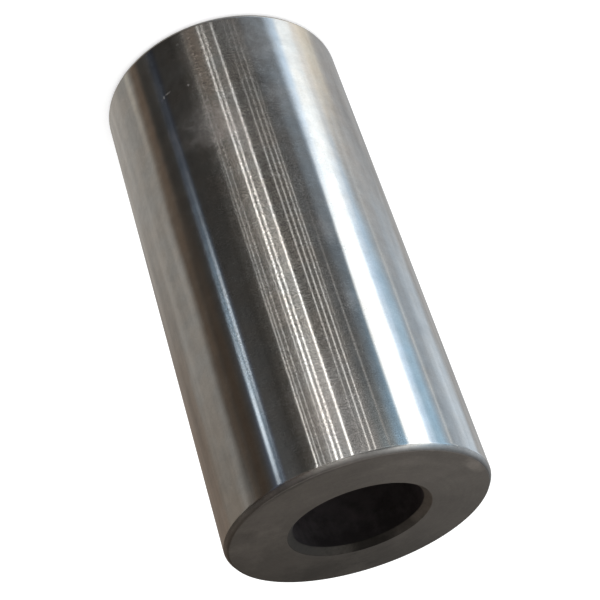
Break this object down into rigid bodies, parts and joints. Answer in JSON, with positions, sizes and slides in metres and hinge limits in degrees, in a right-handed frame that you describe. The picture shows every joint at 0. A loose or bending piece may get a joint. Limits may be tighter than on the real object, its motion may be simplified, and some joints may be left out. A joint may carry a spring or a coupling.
{
  "type": "piston pin",
  "caption": "Thick-walled hollow steel pin that joins a piston to its connecting rod: ground cylindrical wall, bevelled rims, plain through bore with chamfered mouths.",
  "frame": {"origin": "centre of the lower end face, which the pin stands on", "axes": "+Z along the pin's own axis, from the lower end face to the upper one; X and Y are any two directions across it, because the pin is a solid of revolution"},
  "size_m": [0.0508, 0.0508, 0.104],
  "materials": {
    "steel": "wall ground and superfinished to a bright, axially streaked gloss; end faces, rims and bore left dark grey and matte"
  },
  "bodies": {
    "root": {"piston_pin": "steel"}
  },
  "joints": []
}
